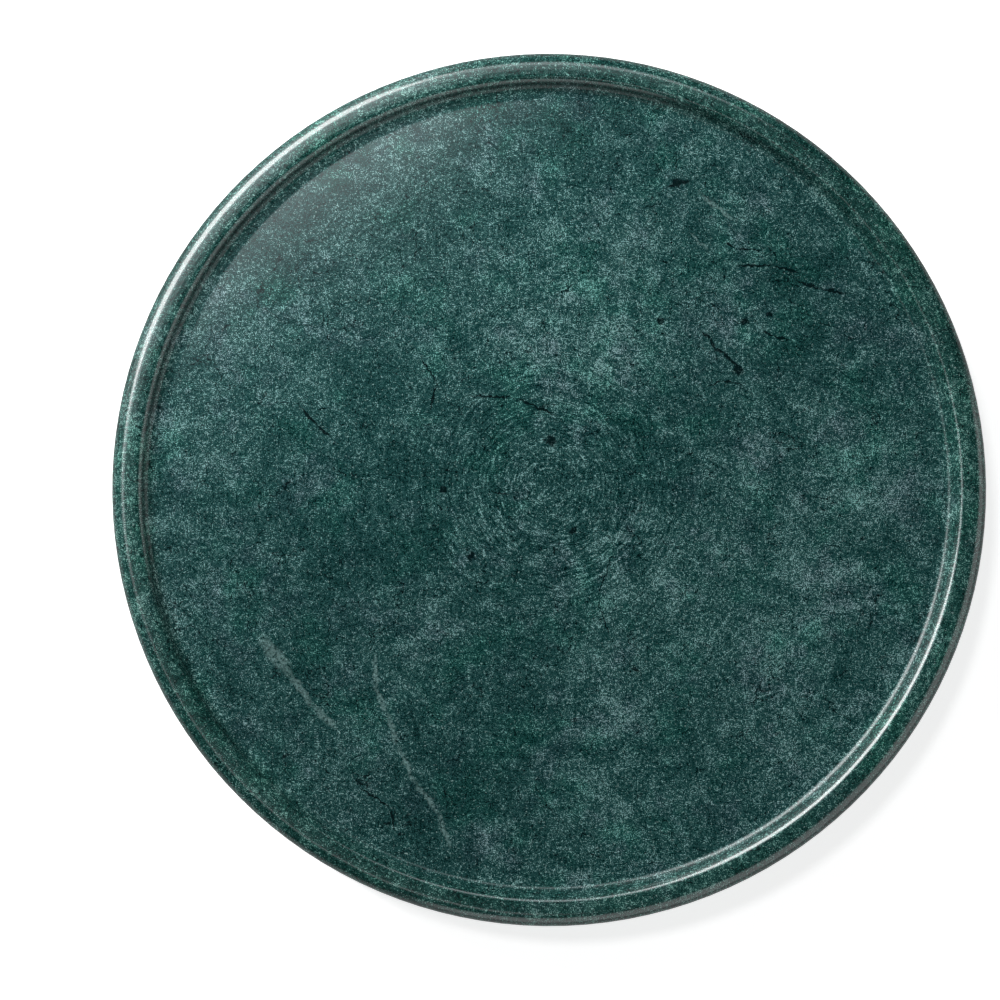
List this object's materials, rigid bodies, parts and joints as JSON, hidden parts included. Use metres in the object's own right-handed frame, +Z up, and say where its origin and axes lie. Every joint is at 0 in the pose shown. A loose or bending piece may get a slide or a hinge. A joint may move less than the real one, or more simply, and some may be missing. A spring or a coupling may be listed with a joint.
{
  "type": "lazy susan turntable",
  "caption": "Round dark green marble serving turntable with a raised, stepped lip, on a ball bearing ring and a smaller footed base.",
  "frame": {"origin": "on the table, on the axis that the tray turns about", "axes": "+Z up along the spin axis; the turntable is round, so X and Y are free"},
  "size_m": [0.4059, 0.406, 0.04],
  "materials": {
    "green_marble": "polished dark green marble with fine pale and dark figure",
    "turned_aluminium": "turned, satin",
    "ball_steel": "polished chrome steel",
    "zinc_steel": "bright zinc plated",
    "brass": "machined",
    "cage_plastic": "natural nylon",
    "gasket_rubber": "matt black sheet",
    "foot_rubber": "matt black, moulded"
  },
  "bodies": {
    "base": {"base_disc": "green_marble", "base_gasket": "gasket_rubber", "outer_ring": "turned_aluminium", "filler_plug": "zinc_steel", "base_bolts": "zinc_steel", "bolt_washers": "zinc_steel", "foot_1": "foot_rubber", "foot_2": "foot_rubber", "foot_3": "foot_rubber", "foot_4": "foot_rubber", "foot_5": "foot_rubber", "foot_6": "foot_rubber"},
    "tray": {"marble_tray": "green_marble", "threaded_inserts": "brass", "tray_gasket": "gasket_rubber", "inner_ring": "turned_aluminium", "tray_screws": "zinc_steel"},
    "cage": {"ball_cage": "cage_plastic", "ball_01": "ball_steel", "ball_02": "ball_steel", "ball_03": "ball_steel", "ball_04": "ball_steel", "ball_05": "ball_steel", "ball_06": "ball_steel", "ball_07": "ball_steel", "ball_08": "ball_steel", "ball_09": "ball_steel", "ball_10": "ball_steel", "ball_11": "ball_steel", "ball_12": "ball_steel", "ball_13": "ball_steel", "ball_14": "ball_steel", "ball_15": "ball_steel", "ball_16": "ball_steel", "ball_17": "ball_steel", "ball_18": "ball_steel", "ball_19": "ball_steel", "ball_20": "ball_steel", "ball_21": "ball_steel", "ball_22": "ball_steel", "ball_23": "ball_steel", "ball_24": "ball_steel"}
  },
  "joints": [
    {"name": "tray_spin", "type": "hinge", "parent": "base", "child": "tray", "pos_m": [0, 0, 0.0165], "axis": [0, 0, 1], "continuous": true},
    {"name": "cage_spin", "type": "hinge", "parent": "base", "child": "cage", "pos_m": [0, 0, 0.0165], "axis": [0, 0, 1], "continuous": true}
  ],
  "couplings": [
    {"joint": "cage_spin", "follows": "tray_spin", "ratio": 0.4895}
  ]
}
